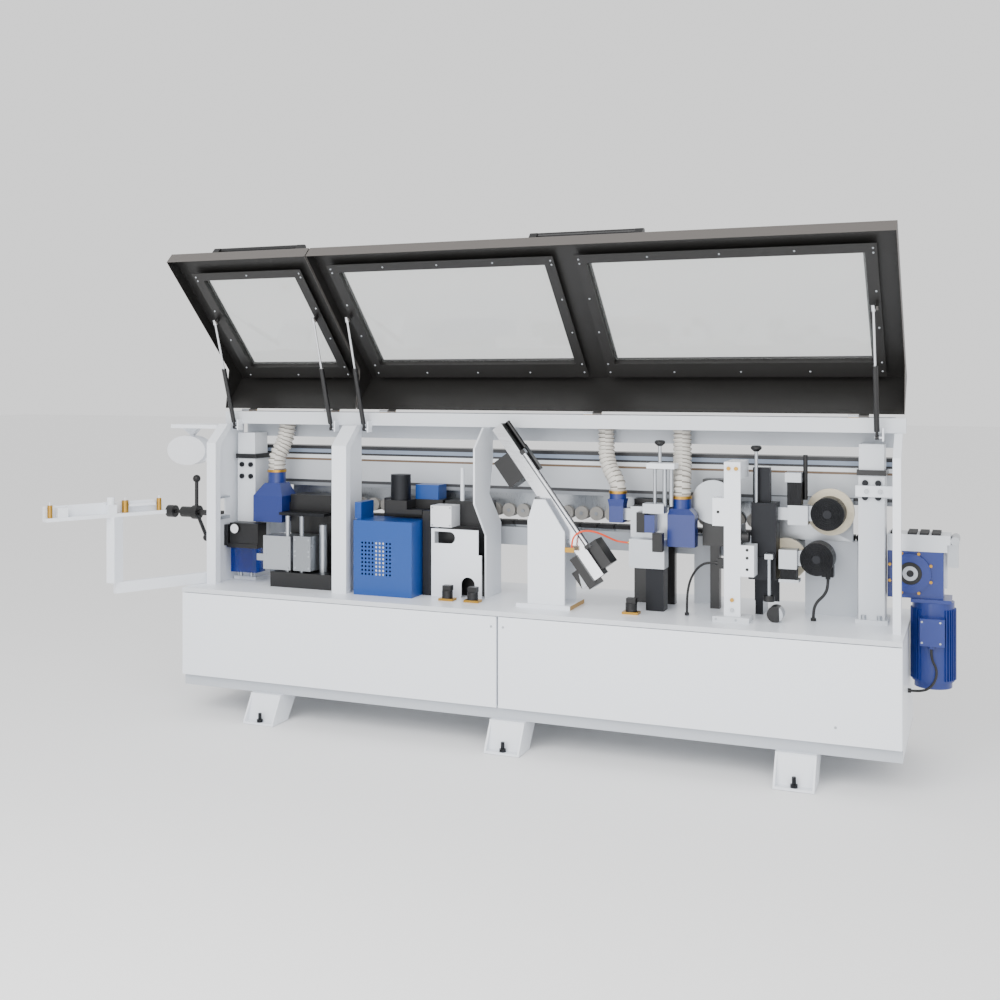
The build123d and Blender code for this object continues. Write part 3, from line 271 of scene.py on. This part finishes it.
def beam_bands():
    """The bars and rails that make up the beam's face, as bands of colour up its height."""
    made, tree, main, place = finish_base("beam face bands", "#C9CDD2", 0.4)
    split = shader_node(tree, "ShaderNodeSeparateXYZ", {"Vector": place})
    height = shader_node(tree, "ShaderNodeMapRange", {"Value": split.outputs["Z"]},
                         From_Min=1.033, From_Max=1.228)
    bands = shader_node(tree, "ShaderNodeValToRGB", {"Fac": height.outputs["Result"]})
    ramp = bands.color_ramp
    ramp.interpolation = "CONSTANT"
    stops = ((0.0, "#8E9298"), (0.08, "#3A3B3E"), (0.15, "#C4C8CD"), (0.64, "#6F5B49"), (0.69, "#E4E8EC"),
             (0.78, "#2C2D30"), (0.83, "#8B97AA"), (0.92, "#2A2B2E"))
    for index, (place_up, code) in enumerate(stops):
        stop = ramp.elements[0] if index == 0 else ramp.elements.new(place_up)
        stop.position = place_up
        stop.color = paint(code)
    ramp.elements.remove(ramp.elements[-1])
    tree.links.new(bands.outputs["Color"], main.inputs["Base Color"])
    vary_roughness(tree, main, place, 9, 0.34, 0.5)
    return made


def clear(name, code, rough):
    made, tree, main, place = finish_base(name, code, rough)
    main.inputs["Transmission Weight"].default_value = 0.92
    main.inputs["IOR"].default_value = 1.45
    smear = shader_node(tree, "ShaderNodeTexNoise", {"Vector": place}, scale=5.0, detail=3.0)
    spread = shader_node(tree, "ShaderNodeMapRange", {"Value": smear.outputs["Fac"]},
                         To_Min=rough, To_Max=rough + 0.06)
    tree.links.new(spread.outputs["Result"], main.inputs["Roughness"])
    return made


cotton = stitched_cotton()
beam_face = beam_bands()
pane_glass = clear("window pane", "#F4F6F5", 0.02)
oil_bowl = clear("oil bowl blue", "#1748B0", 0.12)
print("special finishes ready")

# %% [markdown]
# The floor is matt and nearly white, so that it fades into the surround and only the contact
# shadows show.

# %% Floor finish
floor_finish, floor_tree, floor_main, floor_place = finish_base("studio floor", "#F6F6F6", 0.9)
vary_roughness(floor_tree, floor_main, floor_place, 2, 0.85, 0.95)
floor_mesh.materials.append(floor_finish)
print("floor done")

# %% [markdown]
# A CAD part may hold several pieces, such as a bracket and the black cylinder on it. Its triangles
# can take different finishes by where they lie, so a rule is a block of drawing sizes and a finish,
# and the first finish covers what no rule reaches.

# %% Dress a CAD part


def dress(part, main_finish, *rules):
    """Gives a part its finish, and other finishes to triangles inside given blocks."""
    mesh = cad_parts[part].data
    mesh.materials.clear()
    mesh.materials.append(main_finish)
    for finish, *_ in rules:
        mesh.materials.append(finish)
    if not rules:
        return
    for face in mesh.polygons:
        face.material_index = 0
        centre = mm(face.center)
        for index, (finish, x, y, z) in enumerate(rules, 1):
            if x[0] <= centre.x <= x[1] and y[0] <= centre.y <= y[1] and z[0] <= centre.z <= z[1]:
                face.material_index = index


ALL = (-9999, 9999)
dress("base_cabinet", panel_paint, (pale_grey, ALL, ALL, (555, 579)),
      (black_plastic, ALL, (200, 400), (580.5, 600)),
      (black_plastic, (3201, 3220), ALL, ALL), (grey_paint, ALL, (20, 700), (0, 170)))
dress("front_panels", panel_paint)
dress("base_feet", white_paint)
dress("machine_bolts", brass, (dark_steel, ALL, ALL, (0, 200)), (steel, ALL, ALL, (590, 660)),
      (dark_steel, (0, 400), ALL, (1000, 1200)), (dark_steel, (2900, 3200), ALL, (1000, 1200)),
      (steel, (2990, 3160), (280, 301.3), (1080, 1130)))
dress("infeed_end_plate", white_paint)
dress("divider_plates", white_paint)
dress("outfeed_end_post", white_paint)
dress("top_bar", pale_grey, (grey_paint, ALL, (435, 450), ALL))
dress("hinge_leaves", steel, (white_paint, ALL, ALL, (1290, 1360)), (brass, ALL, (299, 340), (1396, 1412)))
dress("beam_columns", pale_grey, (black_paint, ALL, ALL, (1166, 1190)))
dress("conveyor_beam", grey_paint)
dress("chain_pads", pad_rubber, (steel, (0, 3090), ALL, (870, 881)))
dress("outfeed_rail", pale_grey, (steel, (3350, 3400), ALL, ALL))
dress("worm_gearbox", drive_blue)
dress("output_hub", steel)
dress("feed_motor", drive_blue)
dress("lubricator", black_plastic, (pale_plastic, (110, 165), (215, 221), (810, 860)),
      (oil_bowl, ALL, ALL, (600, 743.5)))
dress("premill_base", black_paint, (steel, (583, 622), (240, 285), (640, 880)),
      (dark_steel, ALL, (200, 329), (905, 930)))
dress("premill_blocks", steel, (steel_side, (484, 576), ALL, ALL), (chrome, ALL, ALL, (825, 912)))
dress("extraction_hoods", navy_paint)
dress("glue_cover", cover_blue)
dress("glue_boxes", cover_blue)
dress("glue_unit", black_paint, (dark_steel, (930, 1050), (250, 350), (1000, 1120)))
dress("glue_front_panel", white_paint, (pale_plastic, (1165, 1275), (235, 335), (889, 990)))
dress("air_regulators", black_plastic, (brass, ALL, ALL, (580, 590)))
dress("end_trim_pedestal", white_paint, (brass, (1838, 1900), ALL, ALL))
dress("end_trim_rail", black_paint, (chrome, ALL, (170, 186), ALL))
dress("upper_trim_carriage", black_paint)
dress("lower_trim_carriage", black_paint, (steel, ALL, (190, 272), (640, 700)))
dress("trim_post", white_paint, (pale_grey, ALL, ALL, (580, 600)))
dress("trim_brackets", steel, (white_paint, ALL, (210, 295), (1178, 1202)),
      (black_paint, ALL, (361, 470), ALL),
      (black_plastic, (2570, 2606), (160, 210), (890, 945)), (dark_steel, ALL, (250, 330), (575, 762)),
      (brass, (2070, 2093), (240, 290), (845, 875)), (black_plastic, (2460, 2546), (170, 201), (780, 830)),
      (white_paint, (2459, 2508), (158, 242), (955, 1075)),
      (white_paint, (2572, 2628), (158, 242), (760, 887)))
dress("trim_height_knob", black_plastic, (steel, ALL, ALL, (1190, 1272)))
dress("tracing_disc", steel)
dress("unit_motors", motor_fins, (black_plastic, (2100, 2260), ALL, ALL), (steel, ALL, (374, 432), ALL),
      (black_plastic, (2790, 2822), (310, 345), (1060, 1250)))
dress("buff_brackets", steel, (white_paint, (2625, 2670), (320, 335), (1050, 1180)),
      (grey_paint, (2780, 3010), (429, 470), ALL),
      (dark_steel, (2590, 2705), (240, 350), ALL), (black_plastic, (2640, 2720), (180, 260), (575, 690)))
dress("buff_height_knob", black_plastic, (steel, ALL, ALL, (1040, 1256)))
for wheel in ("upper_buff_wheel", "lower_buff_wheel"):
    dress(wheel, cotton)
dress("pressure_beam", beam_face, (steel_side, ALL, (506, 524), (900, 1034)))
dress("pressure_wheels", wheel_rubber)
dress("capstan_handle", black_plastic)
dress("infeed_fittings", steel, (black_paint, (-97, 50), ALL, ALL))
dress("tape_arm", white_paint)
dress("tape_rollers", brass)
dress("control_housing", pale_plastic, (white_paint, ALL, ALL, (1300, 1340)))
for side in ("left", "right"):
    dress(f"{side}_hood_windows", pane_glass)
    dress(f"{side}_hood_handle", black_plastic)
    dress(f"{side}_strut_tubes", black_paint)
    dress(f"{side}_strut_rods", chrome)
print("dressed", len(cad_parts), "CAD parts")

# %% [markdown]
# Each hood is one welded shell, pale outside and dark inside with a mid grey rim. Which finish a
# triangle takes follows from the way it faces, so the test uses the outward direction of the raised
# panel.

# %% Hood shells
PANEL_OUT = Vector((0, 0.7056, 0.7086))
PANEL_UP = Vector((0, -0.7086, 0.7057))
KNEE_INSIDE = Vector((0, 332, 1598))


def dress_hood(part):
    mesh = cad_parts[part].data
    mesh.materials.clear()
    for finish in (hood_dark, white_paint, hood_rim, steel):
        mesh.materials.append(finish)
    for face in mesh.polygons:
        offset = mm(face.center) - KNEE_INSIDE
        offset.x = 0
        up, out = offset.dot(PANEL_UP), offset.dot(PANEL_OUT)
        facing = face.normal.dot(PANEL_OUT)
        if out > 52.5 and facing > 0.5 or (out > 30 and up < -80 and face.normal.z > 0.5):
            face.material_index = 1
        elif up > 685:
            face.material_index = 2
        elif out < 2 and abs(face.normal.x) < 0.5 and facing < -0.5:
            face.material_index = 2
        else:
            face.material_index = 0


for side in ("left", "right"):
    dress_hood(f"{side}_hood_shell")
print("hoods dressed")

# %% [markdown]
# New pieces come from small mesh forms. A helper makes an object from a form, gives it a finish
# and hangs it on the body that carries it.

# %% Piece helper
pieces = []


def piece(name, form, finish, body="machine_frame", smooth=False, bevel=0.0):
    """Turns a form into a finished piece on a body."""
    bmesh.ops.recalc_face_normals(form, faces=form.faces)
    name = name.replace(" ", "_")
    mesh = bpy.data.meshes.new(name)
    form.to_mesh(mesh)
    form.free()
    for face in mesh.polygons:
        face.use_smooth = smooth
    mesh.materials.append(finish)
    made = bpy.data.objects.new(name, mesh)
    bpy.context.scene.collection.objects.link(made)
    if bevel:
        edge = made.modifiers.new("edge", "BEVEL")
        edge.width = bevel
        edge.segments = 2
        edge.limit_method = "ANGLE"
    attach(made, body)
    pieces.append(made)
    return made


def add_disc(form, centre, direction, radius, depth, sides=24, tip=None):
    """A short round bar in a form, centred on a drawing place."""
    turn = Vector((0, 0, 1)).rotation_difference(Vector(direction)).to_matrix().to_4x4()
    place = Matrix.Translation(at(*centre)) @ turn
    bmesh.ops.create_cone(form, cap_ends=True, segments=sides, radius1=radius / 1000,
                          radius2=(radius if tip is None else tip) / 1000, depth=depth / 1000, matrix=place)


print("helpers ready")

# %% [markdown]
# Small round-head screws hold the window frames to the hoods. They stand on the inner face of each
# frame, in an even row around the opening.

# %% Window frame screws


def on_hood(x, up, out):
    """A drawing place on the raised hood: distance above the inside of the knee, and outwards."""
    return tuple(Vector((x, 0, 0)) + KNEE_INSIDE + PANEL_UP * up + PANEL_OUT * out)


def window_screws(body, windows, low, high):
    form = bmesh.new()
    for start, end in windows:
        count = max(2, round((end - start) / 240))
        columns = [start - 30 + (end - start + 60) * i / count for i in range(count + 1)]
        rows = [low + (high - low) * i / 3 for i in range(4)]
        spots = [(x, up) for x in columns for up in (low - 50, high + 22)]
        spots += [(x, up) for x in (start - 30, end + 30) for up in rows]
        for x, up in spots:
            add_disc(form, on_hood(x, up, 23.6), -PANEL_OUT, 4.5, 2.4, 10, 3)
    return piece(body + " window screws", form, steel, body)


window_screws("left_hood", [(147, 633)], -8, 550)
window_screws("right_hood", [(860, 1817), (1996, 3071)], 2, 567)
print("screws on hoods")

# %% [markdown]
# The two black cylinders of the buffing unit are motors with a slotted fan cover in front. A cover
# is a set of rings with a small cap, spun from one circle each.

# %% Fan covers


def fan_cover(name, x, y, z, radius):
    form = bmesh.new()
    for ring in range(1, 6):
        ring_r = radius * (0.25 + 0.14 * ring)
        circle = bmesh.ops.create_circle(form, segments=8, radius=0.0016)
        place = Matrix.Translation(at(x + ring_r, y, z))
        bmesh.ops.transform(form, matrix=place, verts=circle["verts"])
        edges = list({edge for vert in circle["verts"] for edge in vert.link_edges})
        bmesh.ops.spin(form, geom=circle["verts"] + edges, cent=at(x, y, z), axis=(0, 1, 0),
                       angle=2 * math.pi, steps=40, use_merge=True)
    for spoke in range(6):
        a = math.pi / 3 * spoke
        centre = (x + radius * 0.55 * math.cos(a), y, z + radius * 0.55 * math.sin(a))
        add_disc(form, centre, (math.cos(a), 0, math.sin(a)), 1.6, radius * 0.8, 8)
    add_disc(form, (x, y - 1, z), (0, 1, 0), radius * 0.28, 4, 24)
    return piece(name, form, dark_steel, smooth=False)


fan_cover("upper fan cover", 2897, 278, 1010, 62)
fan_cover("lower fan cover", 2857, 260, 830, 62)
print("fan covers")

# %% [markdown]
# The extraction hoses are ribbed plastic with a spring wire inside. Each is drawn as a curve whose
# thickness rises and falls every few millimetres, then turned into a mesh. One face in four takes a
# darker finish, which is painted shade for the grooves. Those faces step around the hose and do not
# follow each valley.

# %% Ribbed hoses


def rounded_route(points, passes=4):
    """Cuts the corners of a route until it runs smoothly, keeping its two ends."""
    route = [Vector(p) for p in points]
    for _ in range(passes):
        cut = [route[0]]
        for a, b in zip(route, route[1:]):
            cut += [a.lerp(b, 0.25), a.lerp(b, 0.75)]
        route = cut + [route[-1]]
    return route


def evenly(route, spacing):
    """Places at an even spacing along a route."""
    kept, gone = [route[0]], 0.0
    for a, b in zip(route, route[1:]):
        run = (b - a).length
        while gone + run >= spacing and run > 0:
            a = a.lerp(b, (spacing - gone) / run)
            run, gone = (b - a).length, 0.0
            kept.append(a)
        gone += run
    return kept + [route[-1]]


def ribbed_hose(name, points, radius, pitch, finish, groove_shade):
    name = name.replace(" ", "_")
    curve = bpy.data.curves.new(name, "CURVE")
    curve.dimensions = "3D"
    curve.bevel_depth = radius / 1000
    curve.bevel_resolution = 5
    curve.use_fill_caps = True
    places = evenly(rounded_route(points), pitch / 4)
    line = curve.splines.new("POLY")
    line.points.add(len(places) - 1)
    for index, (spot, place) in enumerate(zip(line.points, places)):
        spot.co = (*at(*place), 1)
        spot.radius = 1.0 if index % 4 < 2 else 0.84
    drawn = bpy.data.objects.new(name, curve)
    bpy.context.scene.collection.objects.link(drawn)
    mesh = bpy.data.meshes.new_from_object(drawn.evaluated_get(bpy.context.evaluated_depsgraph_get()))
    bpy.data.objects.remove(drawn)
    mesh.name = name
    mesh.materials.clear()
    mesh.materials.append(finish)
    mesh.materials.append(groove_shade)
    made = bpy.data.objects.new(name, mesh)
    bpy.context.scene.collection.objects.link(made)
    sides = len(mesh.polygons) // (len(places) - 1)
    for face in mesh.polygons:
        # Every fourth ring of faces takes the darker finish: painted shade for the grooves.
        face.material_index = 1 if face.index // sides % 4 == 2 else 0
    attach(made, "machine_frame")
    return made


RIB_PITCH = 20
hose_finish = moulded("ribbed hose", "#CFCBC3", 0.5)
# The darker hose finish is painted shade for the grooves.
hose_groove_shade = moulded("hose groove", "#77736B", 0.6)
HOSES = {
    "infeed hose": ([(304, 335, 1118), (304, 335, 1180), (322, 372, 1240), (330, 390, 1320),
                     (330, 390, 1378)], 42),
    "trim hose": ([(2301, 304, 1050), (2301, 304, 1120), (2290, 362, 1200), (2282, 392, 1290),
                   (2282, 392, 1378)], 40),
    "end trim hose": ([(2021, 310, 1062), (2021, 310, 1110), (1962, 354, 1180), (1944, 392, 1270),
                       (1944, 392, 1378)], 36)}
hose_pieces = [ribbed_hose(name, points, radius, RIB_PITCH, hose_finish, hose_groove_shade)
               for name, (points, radius) in HOSES.items()]
clamp_form = bmesh.new()
for (x, y, z), radius in (((304, 335, 1111), 46), ((2301, 304, 1056), 43), ((2021, 310, 1068), 39)):
    add_disc(clamp_form, (x, y, z), (0, 0, 1), radius, 12, 40)
clamps = piece("hose clamps", clamp_form, brass, bevel=0.001)
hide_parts("extraction_ducts")
for made in hose_pieces:
    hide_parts("extraction_ducts")
print("hoses", len(hose_pieces))

# %% [markdown]
# The cables and the air hose hang on the same points as the CAD routes. Each is one smooth curve
# with the real cable's diameter, and its length is that of the CAD tube.

# %% Cables and air hose


def cable(name, points, diameter, finish):
    curve = bpy.data.curves.new(name, "CURVE")
    curve.dimensions = "3D"
    curve.bevel_depth = diameter / 2000
    curve.bevel_resolution = 4
    curve.use_fill_caps = True
    line = curve.splines.new("NURBS")
    line.points.add(len(points) - 1)
    for spot, place in zip(line.points, points):
        spot.co = (*at(*place), 1)
    line.order_u = 3
    line.use_endpoint_u = True
    line.resolution_u = 12
    curve.materials.append(finish)
    made = bpy.data.objects.new(name + "_curve", curve)
    bpy.context.scene.collection.objects.link(made)
    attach(made, "machine_frame")
    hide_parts(name)
    return made


MOTOR_CABLE = [(3286, 343, 493), (3286, 343, 452), (3306, 338, 419), (3306, 331, 382), (3286, 325, 345),
               (3252, 321, 327), (3212, 321, 327)]
BUFF_CABLE = [(2895, 320, 746), (2895, 320, 712), (2881, 311, 680), (2856, 295, 658), (2842, 286, 626),
              (2842, 286, 592)]
TRIM_CABLE = [(2466, 186, 806), (2432, 186, 806), (2401, 189, 789), (2376, 196, 759), (2358, 204, 723),
              (2348, 210, 683), (2344, 212, 641), (2344, 212, 592)]
AIR_HOSE = [(1868, 145, 842), (1868, 145, 872), (1884, 149, 900), (1914, 159, 914), (1948, 178, 912),
            (1980, 204, 898), (2010, 232, 878), (2042, 262, 860), (2080, 262, 860)]
cable("motor_cable", MOTOR_CABLE, 10, cable_sheath)
cable("buff_cable", BUFF_CABLE, 12, cable_sheath)
cable("trim_cable", TRIM_CABLE, 10, cable_sheath)
cable("air_hose", AIR_HOSE, 8, hose_orange)
print("cords 4")

# %% [markdown]
# Panel screws, fastening heads on covers and blocks, and the terminal box screws are tiny, but they
# give the eye its sense of scale. They are short cylinders in one form per finish.

# %% Screws on panels and blocks
screw_form = bmesh.new()
for x, z in ((1560, 515), (1614, 515), (2960, 240)):
    add_disc(screw_form, (x, -1, z), (0, 1, 0), 5, 2, 16)
for x in (334, 454, 494, 566):
    for z in (672, 728, 750, 804):
        add_disc(screw_form, (x, 189, z), (0, 1, 0), 5, 2.4, 12)
for x in (1178, 1264):
    for z in (898, 977):
        add_disc(screw_form, (x, 235, z), (0, 1, 0), 4, 2, 12)
for x in (3252, 3320):
    for z in (518, 600):
        add_disc(screw_form, (x, 321, z), (0, 1, 0), 4, 2.4, 12)
for x in (2480, 2560):
    add_disc(screw_form, (x, 131, 590), (0, 1, 0), 5, 2, 12)
piece("panel screws", screw_form, steel)
# Black discs stand in for holes; their black is painted shade inside the holes.
hole_shade_form = bmesh.new()
for x, z in ((2483, 1016), (2600, 868), (2600, 836), (2600, 790)):
    add_disc(hole_shade_form, (x, 159.4, z), (0, 1, 0), 6, 1.6, 18)
add_disc(hole_shade_form, (640, 325, 1009), (0, 1, 0), 6, 1.6, 18)
piece("painted hole shade", hole_shade_form, black_plastic)
print("screws placed")

# %% [markdown]
# The worm gearbox has a dark seal around the hub. The feed motor has upright fins, made as one thin
# block that is copied round the motor axis and left out where the terminal box sits.

# %% Feed motor fins and seal
FIN_COUNT = 40
FIN_MIDDLE_R = 83
MOTOR_AXIS = (3290, 440)
FIN_MIDDLE_Z = 500
TERMINAL_BOX_HALF = 48
seal_form = bmesh.new()
add_disc(seal_form, (3206, 367.4, 780), (0, 1, 0), 44, 1.2, 40)
piece("gearbox seal", seal_form, black_plastic)
fin_form = bmesh.new()
for turn in range(FIN_COUNT):
    a = 2 * math.pi * turn / FIN_COUNT
    made = bmesh.ops.create_cube(fin_form, size=1)["verts"]
    x = MOTOR_AXIS[0] + FIN_MIDDLE_R * math.cos(a)
    y = MOTOR_AXIS[1] + FIN_MIDDLE_R * math.sin(a)
    place = (Matrix.Translation(at(x, y, FIN_MIDDLE_Z))
             @ Matrix.Rotation(a, 4, "Z") @ Matrix.Diagonal((0.008, 0.003, 0.28, 1)))
    in_box = abs(FIN_MIDDLE_R * math.cos(a)) < TERMINAL_BOX_HALF and math.sin(a) < 0
    if in_box:
        bmesh.ops.delete(fin_form, geom=made, context="VERTS")
    else:
        bmesh.ops.transform(fin_form, matrix=place, verts=made)
piece("feed motor fins", fin_form, drive_blue)
print("drive details")

# %% [markdown]
# At the end the view layer is brought up to date.

# %% Finish
bpy.context.view_layer.update()
